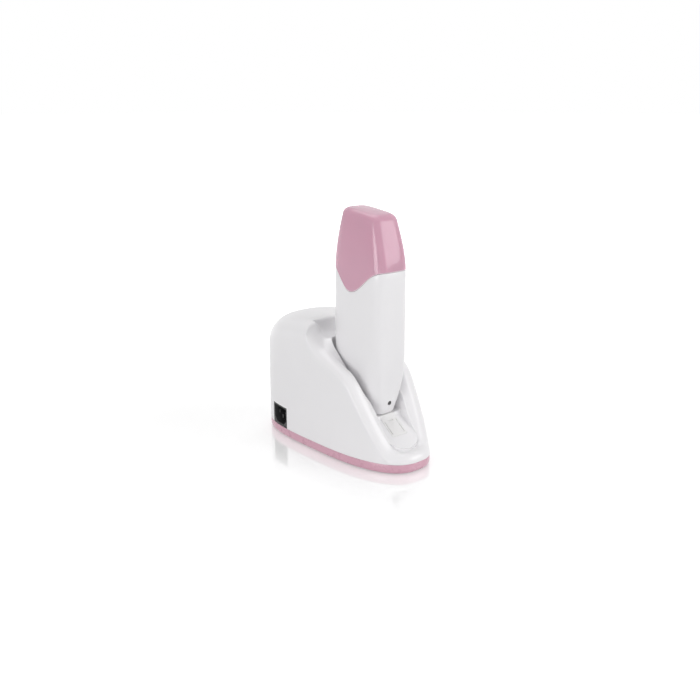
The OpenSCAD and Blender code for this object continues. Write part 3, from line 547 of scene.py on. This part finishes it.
def plan_loop(inset, z):
    n = 150
    ms = [-math.cos(math.pi * i / n) for i in range(n + 1)]
    right = [(plan_x(m, inset), plan_y(m, inset), z) for m in ms]
    left = [(-p[0], p[1], z) for p in right[-2:0:-1]]
    return right + left


def under_dock(side, ys, inset, room):
    """Places along one side of the tray, with some room between them and the dock's outline."""
    return [(side * (plan_x(y / HALF_L, inset) - room), y) for y in ys]


def dock_tray(material):
    """The tray with its rounded lower edge, and the holes for its feet and screws."""
    edge_r, edge_h = 2.3, 3.6
    outline = []
    for a in steps(0, 90, 9):
        s, c = math.sin(math.radians(a)), math.cos(math.radians(a))
        outline.append((TRAY_INSET + edge_r * (1 - s), FOOT_GAP + edge_h * (1 - c)))
    outline += [(TRAY_INSET, 6.5), (TRAY_INSET, SEAM_Z - 0.45), (0.45, SEAM_Z - 0.2), (0.8, SEAM_Z - 0.15)]
    verts, faces = rings_solid([plan_loop(i, z) for i, z in outline])
    obj = piece("dock_tray", verts, faces, "dock", material, ("base_tray",))
    below, hole_r, head_r, shank_r, step_z = -0.5, FOOT_R + 0.1, 3.2, 1.7, FOOT_GAP + 1.4
    foot_hole = lathe([(hole_r, below), (hole_r, 1.99)], 48)
    screw_hole = lathe([(head_r, below), (head_r, step_z), (shank_r, step_z + 0.01), (shank_r, 7.0)], 32)
    cuts = []
    for side in (-1, 1):
        for x, y in under_dock(side, FEET_Y, 0, FEET_IN):
            cuts.append(rings_solid(moved(foot_hole, x, y, 0)))
        for x, y in under_dock(side, SCREWS_Y, SHELL_WALL, SCREW_IN):
            cuts.append(rings_solid(moved(screw_hole, x, y, 0)))
    cut_with(obj, cuts)


def dock_feet(material):
    """Rubber feet with a rounded lower edge, all four in one piece."""
    inner_r, high, flatness = FOOT_R - 1, 1.95, 0.6
    side = [(0.01, 0.0), (inner_r - 0.4, 0.0)]
    for a in steps(0, 90, 6):
        s, c = math.sin(math.radians(a)), math.cos(math.radians(a))
        side.append((inner_r + s, flatness * (1 - c)))
    side += [(FOOT_R, high), (0.01, high)]
    verts, faces = [], []
    for x, y in under_dock(-1, FEET_Y, 0, FEET_IN) + under_dock(1, FEET_Y, 0, FEET_IN):
        v, f = rings_solid(moved(lathe(side, 56), x, y, 0))
        faces += [[i + len(verts) for i in q] for q in f]
        verts += v
    piece("rubber_feet", verts, faces, "dock", material, ("base_feet",))


# ------------------------------------------------------------------ form of the handset

HALF_D, HALF_W = HANDSET_D / 2, HANDSET_W / 2
FOOT_TUCK, FOOT_ROUND = (7.8, 9.5, 7.5), 2.4
SHOULDER_H, SHOULDER_DROP = HOUSING_H - 4, (5.6, 12.4, 9.6)
TOP_ROUND, TOP_LEAN, CROWN = 5.5, 8.0, 0.5
SEAM_MIDDLE, SEAM_FRONT, SEAM_BACK = 5.0, 40.0, 29.0
SECTION_POWER, FOOT_POWER = 0.46, 0.56
AROUND = 176
SEAM_GAP, CAP_EDGE_H, EDGE_R = 0.15, 0.75, 0.35
LENS_UP, LENS_HOLE_R = 12.2, 2.22
CONTACT_HOLE_R, CARRIER_SCREW_R, CARRIER_SCREW_OUT = 3.4, 0.85, 4.0


def foot_share(h):
    return clamp01(1 - h / FOOT_RUN) ** 2


def top_share(h):
    return clamp01((h - SHOULDER_H) / (HANDSET_H - SHOULDER_H)) ** 1.7


def end_inset(r, t):
    return 0.0 if t >= r else r - math.sqrt(max(0.0, r * r - (r - t) ** 2))


def reach(k, full, h):
    """How far the handset reaches at a height: to its sides (0), its front (1) or its back (2)."""
    return (full - FOOT_TUCK[k] * foot_share(h) - SHOULDER_DROP[k] * top_share(h)
            - end_inset(FOOT_ROUND, h) - end_inset(TOP_ROUND, HANDSET_H - h))


def leaned(h, y):
    """The height of a point on a ring whose front is lower, as on the leaning top of the cap."""
    return h - TOP_LEAN * ease((h - SHOULDER_H) / (HANDSET_H - SHOULDER_H)) * (HALF_D - y) / HANDSET_D


def around_angles():
    """Angles that share the outline's length evenly between its points, a little denser at corners."""
    pts, n, e = [], 2880, SECTION_POWER
    for i in range(n + 1):
        t = 2 * math.pi * i / n
        c, s = math.cos(t), math.sin(t)
        pts.append((HALF_W * sign(c) * abs(c) ** e, HALF_D * sign(s) * abs(s) ** e))
    run = [0.0]
    for i in range(n):
        d = math.dist(pts[i], pts[i + 1])
        corner = abs(math.sin(4 * math.pi * i / n))
        run.append(run[-1] + d * (1 + 1.2 * corner))
    out, j = [], 0
    for k in range(AROUND):
        want = run[-1] * k / AROUND
        while run[j + 1] < want:
            j += 1
        f = (want - run[j]) / (run[j + 1] - run[j])
        out.append(2 * math.pi * (j + f) / n)
    return out


ANGLES = around_angles()


def ring_point(h, inset, t):
    """A point of the handset's skin, or of the one that lies an inset within it."""
    a, f, b = (reach(k, full, h) - inset for k, full in enumerate((HALF_W, HALF_D, HALF_D)))
    e = mix(SECTION_POWER, FOOT_POWER, foot_share(h))
    c, s = math.cos(t), math.sin(t)
    y = (b if s > 0 else f) * sign(s) * abs(s) ** e
    return a * sign(c) * abs(c) ** e, y, leaned(h, y)


def seam_h(y):
    t = clamp01((y - SEAM_MIDDLE) / (-SEAM_FRONT if y < SEAM_MIDDLE else SEAM_BACK))
    return HOUSING_H - SEAM_DIP * math.cos(t * math.pi / 2) ** 2


def seam_level(t, inset, gap, drop=0.0):
    """The level along one column at which the surface meets the seam, moved up by gap."""
    lo, hi = 90.0, 170.0
    for _ in range(40):
        mid = (lo + hi) / 2
        x, y, z = ring_point(mid, inset, t)
        lo, hi = (mid, hi) if z - drop < seam_h(y) + gap else (lo, mid)
    return (lo + hi) / 2


def place_handset(p):
    return p[0], p[1] + CRADLE_Y, p[2] + HANDSET_Z


def level_rings(levels, inset):
    return [[ring_point(h, inset, t) for t in ANGLES] for h in levels]


def seam_rings(seam, offsets):
    """Rings that follow the seam: each offset is an inset and a rise from it."""
    return [[ring_point(h + rise, inset, t) for h, t in zip(seam, ANGLES)] for inset, rise in offsets]


def quarter(angles, r):
    return [(r * (1 - math.cos(math.radians(a))), r * math.sin(math.radians(a))) for a in angles]


def handset_shell(material):
    """The housing's wall with its rounded upper edge, its foot, and the holes for lens and contacts."""
    seam = [seam_level(t, 0, -SEAM_GAP) for t in ANGLES]
    inner_seam = [seam_level(t, HOUSING_WALL, -SEAM_GAP) for t in ANGLES]
    foot = [0, 0.04, 0.18, 0.42, 0.75, 1.2, 1.7, 2.4, 4, 6, 9, 12, 16, 20, 25, 30, 36, 42, 50, 58, 70, 84]
    even_from = 98
    rings = level_rings(foot + [even_from], 0)
    for u in steps(0, 1, 9)[1:]:
        rings.append([ring_point(mix(even_from, s - EDGE_R, u), 0, t) for s, t in zip(seam, ANGLES)])
    rings += seam_rings(seam, [(inset, rise - EDGE_R) for inset, rise in quarter((30, 60, 90), EDGE_R)])
    rings += seam_rings(inner_seam, [(HOUSING_WALL, 0)])
    rings += level_rings((100, 60, 30, 12, 2.4), HOUSING_WALL)
    verts, faces = rings_solid([[place_handset(p) for p in r] for r in rings])
    obj = piece("handset_shell", verts, faces, "handset", material, ("handset_housing",))
    guide = lathe([(CONTACT_HOLE_R, -1), (CONTACT_HOLE_R, 3.4)], 48)
    screw = lathe([(CARRIER_SCREW_R, 1), (CARRIER_SCREW_R, 4)], 24)
    cuts = [moved(guide, s * CONTACT_PITCH / 2, CONTACT_Y, HANDSET_Z) for s in (-1, 1)]
    cuts += [moved(screw, 0, CONTACT_Y + s * CARRIER_SCREW_OUT, HANDSET_Z) for s in (-1, 1)]
    along = lathe([(LENS_HOLE_R, 40), (LENS_HOLE_R, 70)], 40)
    cuts.append([[(x, -z, y + HANDSET_Z + LENS_UP) for x, y, z in ring] for ring in along])
    cut_with(obj, [rings_solid(rings) for rings in cuts])


def clear_cap(material):
    """The cap as one closed wall: both top faces, the inner skin, the lower edge and the outer skin."""
    low = SEAM_GAP + CAP_EDGE_H
    outer = [seam_level(t, 0, low) for t in ANGLES]
    inner = [seam_level(t, CAP_WALL, low, CAP_WALL) for t in ANGLES]
    shoulder = HANDSET_H - TOP_ROUND
    shares = (0.02, 0.2, 0.4, 0.6, 0.8)
    turns = (90, 72, 54, 36, 18)
    rings = [cap_top_ring(share, CAP_WALL) for share in shares]
    rounding = [shoulder + TOP_ROUND * math.sin(math.radians(a)) for a in turns]
    rings += [[cap_in(p) for p in ring] for ring in level_rings(rounding, CAP_WALL)]
    for u in steps(1, 0, 16):
        rings.append([cap_in(ring_point(mix(h, shoulder, u), CAP_WALL, t))
                      for h, t in zip(inner, ANGLES)])
    for u in steps(0, 1, 23):
        rings.append([ring_point(mix(h, shoulder, u), 0, t) for h, t in zip(outer, ANGLES)])
    rounding = [shoulder + TOP_ROUND * math.sin(math.radians(a)) for a in steps(0, 90, 12)[1:]]
    rings += level_rings(rounding, 0)
    rings += [cap_top_ring(share, 0) for share in shares[::-1]]
    verts, faces = rings_solid([[place_handset(p) for p in r] for r in rings])
    piece("clear_cap", verts, faces, "cap", material, ("cap",), sharp=50)


def cap_edge(material):
    """The cut lower edge of the cap: a band with a rounded outer corner, in a lighter pink that is a
    painted highlight for the light it catches.
    """
    outer = [seam_level(t, 0, SEAM_GAP) for t in ANGLES]
    inner = [seam_level(t, CAP_WALL, SEAM_GAP, CAP_WALL) for t in ANGLES]
    high = CAP_EDGE_H - 0.01
    rings = [[cap_in(p) for p in ring] for ring in seam_rings(inner, [(CAP_WALL, high), (CAP_WALL, 0)])]
    corner = [(inset, EDGE_R - rise) for inset, rise in quarter((90, 60, 30, 0), EDGE_R)]
    rings += seam_rings(outer, corner + [(0, high)])
    rings.append(rings[0])
    verts = [place_handset(p) for ring in rings for p in ring]
    faces = grid_faces(len(rings), AROUND, closed=True)
    piece("cap_edge", verts, faces, "cap", material, sharp=50)


def cap_in(p):
    """A point of the cap's inner skin, whose top lies a wall below the outer one."""
    return p[0], p[1], p[2] - CAP_WALL


def cap_top_ring(share, inset):
    """A ring on the flat top, drawn in towards the middle, with a very slight crown."""
    out = []
    for t in ANGLES:
        x, y, _ = ring_point(HANDSET_H, inset, t)
        x, y = x * share, y * share
        out.append((x, y, leaned(HANDSET_H, y) + CROWN * (1 - share * share) - inset))
    return out


# ------------------------------------------------------------------ materials

NOISE_MIDDLE = (0.3, 0.7)


def shader(name):
    mat = bpy.data.materials.new(name)
    mat.use_nodes = True
    tree = mat.node_tree
    return mat, tree, tree.nodes["Principled BSDF"]


def noise(tree, scale, detail=3.0):
    coord = tree.nodes.new("ShaderNodeTexCoord")
    tex = tree.nodes.new("ShaderNodeTexNoise")
    tex.inputs["Scale"].default_value = scale
    tex.inputs["Detail"].default_value = detail
    tree.links.new(coord.outputs["Object"], tex.inputs["Vector"])
    return tex.outputs["Fac"]


def ranged(tree, value, seen, given):
    """A node that maps a value from the range in which it is seen to the range that is given."""
    node = tree.nodes.new("ShaderNodeMapRange")
    node.inputs["From Min"].default_value, node.inputs["From Max"].default_value = seen
    node.inputs["To Min"].default_value, node.inputs["To Max"].default_value = given
    tree.links.new(value, node.inputs["Value"])
    return node


def color_varies(tree, bsdf, color, scale, low, high):
    """Mottles a colour, between two shades of it."""
    node = tree.nodes.new("ShaderNodeValToRGB")
    for end, place, factor in zip(node.color_ramp.elements, NOISE_MIDDLE, (low, high)):
        end.position = place
        end.color = (*(min(1.0, c * factor) for c in color), 1)
    tree.links.new(noise(tree, scale), node.inputs["Fac"])
    tree.links.new(node.outputs["Color"], bsdf.inputs["Base Color"])


def gloss_varies(tree, bsdf, fac, rough, by):
    node = ranged(tree, fac, NOISE_MIDDLE, (rough - by, rough + by))
    tree.links.new(node.outputs["Result"], bsdf.inputs["Roughness"])


def bump(tree, bsdf, fac, strength, distance):
    node = tree.nodes.new("ShaderNodeBump")
    node.inputs["Strength"].default_value = strength
    node.inputs["Distance"].default_value = distance
    tree.links.new(fac, node.inputs["Height"])
    tree.links.new(node.outputs["Normal"], bsdf.inputs["Normal"])


def moulded(name, color, rough, vary=0.02, grain=900.0, depth=0.04, coat=0.0, spread=0.05):
    """Moulded plastic, rubber or ceramic: faint mottling, uneven gloss and a fine surface grain."""
    mat, tree, bsdf = shader(name)
    color_varies(tree, bsdf, color, 38, 1 - vary, 1 + vary)
    gloss_varies(tree, bsdf, noise(tree, 120, 4), rough, spread)
    bump(tree, bsdf, noise(tree, grain, 2), depth, 0.0002)
    bsdf.inputs["Coat Weight"].default_value = coat
    bsdf.inputs["Coat Roughness"].default_value = 0.06
    return mat


def clear_pink():
    """The cap's tinted plastic, which lets a part of the light through."""
    mat, tree, bsdf = shader("clear_pink")
    color_varies(tree, bsdf, (0.80, 0.45, 0.58), 30, 0.985, 1.015)
    gloss_varies(tree, bsdf, noise(tree, 90, 4), 0.09, 0.02)
    bump(tree, bsdf, noise(tree, 420, 2), 0.02, 0.0002)
    bsdf.inputs["Transmission Weight"].default_value = 0.3
    bsdf.inputs["IOR"].default_value = 1.46
    return mat


def turned(name, color, rough, scale=2600.0):
    """Metal with fine rings or lines from turning or drawing."""
    mat, tree, bsdf = shader(name)
    coord = tree.nodes.new("ShaderNodeTexCoord")
    wave = tree.nodes.new("ShaderNodeTexWave")
    wave.bands_direction = "Z"
    wave.inputs["Scale"].default_value = scale
    wave.inputs["Distortion"].default_value = 2.0
    tree.links.new(coord.outputs["Object"], wave.inputs["Vector"])
    color_varies(tree, bsdf, color, 260, 0.92, 1.05)
    gloss_varies(tree, bsdf, wave.outputs["Fac"], rough, 0.06)
    bump(tree, bsdf, wave.outputs["Fac"], 0.05, 0.0001)
    bsdf.inputs["Metallic"].default_value = 1.0
    return mat


def make_materials():
    return {
        "white": moulded("gloss_white", (0.84, 0.83, 0.845), 0.30, vary=0.004, depth=0.015,
                         coat=0.2, spread=0.012),
        "pink": moulded("rim_pink", (0.62, 0.34, 0.43), 0.28, vary=0.006, depth=0.015,
                        coat=0.25, spread=0.015),
        "clear": clear_pink(),
        # lighter pink than the cap: a painted highlight on the cap's cut lower edge
        "edge": moulded("edge_highlight_pink", (0.86, 0.68, 0.76), 0.2, vary=0.01, depth=0.01,
                        coat=0.4, spread=0.02),
        "cream": moulded("block_cream", (0.84, 0.83, 0.83), 0.42, vary=0.008, depth=0.03, spread=0.02),
        "grey": moulded("collar_grey", (0.60, 0.59, 0.57), 0.45, vary=0.02, depth=0.08),
        "black": moulded("black_plastic", (0.012, 0.012, 0.013), 0.45, vary=0.2, depth=0.1),
        "rubber": moulded("foot_rubber", (0.02, 0.02, 0.021), 0.75, vary=0.25, depth=0.25, grain=1500),
        "steel": turned("zinc_steel", (0.62, 0.62, 0.64), 0.32),
        "spring": turned("spring_steel", (0.45, 0.45, 0.47), 0.28, 5000),
        "brass": turned("brass", (0.72, 0.55, 0.24), 0.24, 3800),
        "aluminium": turned("drawn_aluminium", (0.74, 0.74, 0.76), 0.34, 900),
        "ceramic": moulded("ceramic", (0.76, 0.73, 0.68), 0.6, vary=0.04, depth=0.15),
        "sheath": moulded("lead_sheath", (0.40, 0.06, 0.04), 0.5, vary=0.08, depth=0.1),
        "board": moulded("board_green", (0.02, 0.16, 0.06), 0.4, vary=0.12, depth=0.1, coat=0.3),
        "lens": moulded("lens_black", (0.008, 0.008, 0.010), 0.12, vary=0.1, depth=0.01, coat=0.6),
    }


def dress_cad(mats):
    """Gives every CAD node its finish. Those that a piece replaces wear it too."""
    wear = {
        "base_shell": "white", "base_tray": "pink", "base_feet": "rubber", "base_screws": "steel",
        "mains_inlet": "black", "inlet_pins": "black", "base_leads": "sheath",
        "contact_block": "cream", "contact_retainer": "cream", "retainer_screws": "steel",
        "contact_plunger_left": "brass", "contact_plunger_right": "brass",
        "plunger_spring_left": "spring", "plunger_spring_right": "spring",
        "handset_housing": "white", "well_collar": "grey", "heating_well": "aluminium",
        "ptc_heater": "ceramic", "heater_clip": "steel", "thermostat": "black", "thermal_fuse": "steel",
        "indicator_board": "board", "indicator_led": "ceramic", "indicator_lens": "lens",
        "contact_carrier": "black", "contact_pad_left": "brass", "contact_pad_right": "brass",
        "carrier_screws": "steel", "handset_leads": "sheath", "cap": "clear",
    }
    for node, key in wear.items():
        data = NODES[node].data
        data.materials.clear()
        data.materials.append(mats[key])


# ------------------------------------------------------------------ camera, light and floor


def add_camera():
    """The photograph's own view: from the left of the nose and above the cap, looking down a little."""
    turn, away, height, focal, yaw, pitch = -42.3, 0.850, 0.353, 903.0, 1.3, 16.25
    photo_w, sensor_w = 700.0, 36.0
    a, b, p = math.radians(turn), math.radians(turn + yaw), math.radians(pitch)
    ahead = Vector((-math.sin(b), math.cos(b), 0)) * math.cos(p) + Vector((0, 0, -math.sin(p)))
    right = Vector((math.cos(b), math.sin(b), 0))
    up = right.cross(ahead)
    data = bpy.data.cameras.new("photo_view")
    data.sensor_width, data.lens = sensor_w, sensor_w * focal / photo_w
    data.clip_start, data.clip_end = 0.01, 100.0
    cam = bpy.data.objects.new("photo_view", data)
    SCENE.collection.objects.link(cam)
    spot = Vector((math.sin(a) * away, -math.cos(a) * away + CRADLE_Y * MM, height))
    cam.matrix_world = Matrix.Translation(spot) @ Matrix((right, up, -ahead)).transposed().to_4x4()
    SCENE.camera = cam


def area_light(name, spot, aim, size, power):
    data = bpy.data.lights.new(name, "AREA")
    data.shape, data.size, data.energy = "DISK", size, power
    obj = bpy.data.objects.new(name, data)
    SCENE.collection.objects.link(obj)
    obj.location = spot
    obj.rotation_mode = "QUATERNION"
    obj.rotation_quaternion = (Vector(aim) - Vector(spot)).to_track_quat("-Z", "Y")


def seen_rays(tree):
    """1 for rays from the camera, and for those that gloss and glass send on."""
    path = tree.nodes.new("ShaderNodeLightPath")
    seen = path.outputs["Is Camera Ray"]
    for kind in ("Is Glossy Ray", "Is Transmission Ray"):
        either = tree.nodes.new("ShaderNodeMath")
        either.operation = "MAXIMUM"
        tree.links.new(seen, either.inputs[0])
        tree.links.new(path.outputs[kind], either.inputs[1])
        seen = either.outputs[0]
    return seen


def add_world(front, back):
    """White where it is seen; as a light it is brighter in front of the part than behind it."""
    world = bpy.data.worlds.new("studio")
    SCENE.world = world
    world.use_nodes = True
    tree = world.node_tree
    sky = tree.nodes["Background"]
    sky.inputs["Color"].default_value = (1, 1, 1, 1)
    coord = tree.nodes.new("ShaderNodeTexCoord")
    split = tree.nodes.new("ShaderNodeSeparateXYZ")
    tree.links.new(coord.outputs["Generated"], split.inputs[0])
    side = ranged(tree, split.outputs["Y"], (-1, 1), (front, back))
    strength = ranged(tree, seen_rays(tree), (0, 1), (0, 1))
    tree.links.new(side.outputs["Result"], strength.inputs["To Min"])
    tree.links.new(strength.outputs["Result"], sky.inputs["Strength"])


def vector_math(tree, operation, value):
    node = tree.nodes.new("ShaderNodeVectorMath")
    node.operation = operation
    tree.links.new(value, node.inputs[0])
    return node


def floor_material():
    """Pale floor: white away from the object, with its shadow and a faint mirror image of it."""
    grey, gloss_rough = 0.62, 0.08
    glow_run, glow_range = (0.22, 0.8), (0.51, 1.0)
    mirror_run, mirror_range, mirror_narrow = (0.14, 0.25), (0.32, 0.0), 2.0
    mat = bpy.data.materials.new("pale_floor")
    mat.use_nodes = True
    tree = mat.node_tree
    tree.nodes.remove(tree.nodes["Principled BSDF"])
    place = tree.nodes.new("ShaderNodeTexCoord").outputs["Object"]

    matte = tree.nodes.new("ShaderNodeBsdfDiffuse")
    matte.inputs["Color"].default_value = (grey, grey, grey, 1)
    glow = tree.nodes.new("ShaderNodeEmission")
    glow.inputs["Color"].default_value = (1, 1, 1, 1)
    away = vector_math(tree, "LENGTH", place)
    far = ranged(tree, away.outputs["Value"], glow_run, glow_range)
    level = ranged(tree, seen_rays(tree), (0, 1), (0, 1))
    tree.links.new(far.outputs["Result"], level.inputs["To Max"])
    tree.links.new(level.outputs["Result"], glow.inputs["Strength"])
    both = tree.nodes.new("ShaderNodeAddShader")
    tree.links.new(matte.outputs[0], both.inputs[0])
    tree.links.new(glow.outputs[0], both.inputs[1])

    mirror = tree.nodes.new("ShaderNodeBsdfGlossy")
    mirror.inputs["Color"].default_value = (1, 1, 1, 1)
    mirror.inputs["Roughness"].default_value = gloss_rough
    stretch = vector_math(tree, "MULTIPLY", place)
    stretch.inputs[1].default_value = (mirror_narrow, 1, 1)
    beside = vector_math(tree, "LENGTH", stretch.outputs[0])
    fade = ranged(tree, beside.outputs["Value"], mirror_run, mirror_range)
    mixer = tree.nodes.new("ShaderNodeMixShader")
    tree.links.new(fade.outputs["Result"], mixer.inputs[0])
    tree.links.new(both.outputs[0], mixer.inputs[1])
    tree.links.new(mirror.outputs[0], mixer.inputs[2])
    tree.links.new(mixer.outputs[0], tree.nodes["Material Output"].inputs["Surface"])
    return mat


def add_floor():
    bm = bmesh.new()
    bmesh.ops.create_circle(bm, cap_ends=True, segments=96, radius=12.0)
    mesh = bpy.data.meshes.new("floor")
    bm.to_mesh(mesh)
    bm.free()
    obj = bpy.data.objects.new("floor", mesh)
    SCENE.collection.objects.link(obj)
    mesh.materials.append(floor_material())


def add_studio():
    add_world(front=0.69, back=0.30)
    area_light("key", (1.0, -1.5, 0.7), (0, 0, 0.12), 1.2, 11.8)
    area_light("left", (-1.6, -0.3, 0.25), (0, 0, 0.12), 0.9, 10.0)
    area_light("top", (0.3, 0.6, 1.9), (0, 0, 0.1), 1.5, 10.5)
    area_light("strip", (-1.15, -1.0, 0.12), (0, 0, 0.15), 0.25, 0.6)
    add_floor()


# ------------------------------------------------------------------ the part

add_camera()
add_studio()
MATS = make_materials()
dress_cad(MATS)
dock_shell(MATS["white"])
dock_tray(MATS["pink"])
dock_feet(MATS["rubber"])
handset_shell(MATS["white"])
clear_cap(MATS["clear"])
cap_edge(MATS["edge"])
softened("contact_block_soft", "contact_block", "dock", MATS["cream"], 0.35)
softened("mains_inlet_soft", "mains_inlet", "dock", MATS["black"], 0.5)
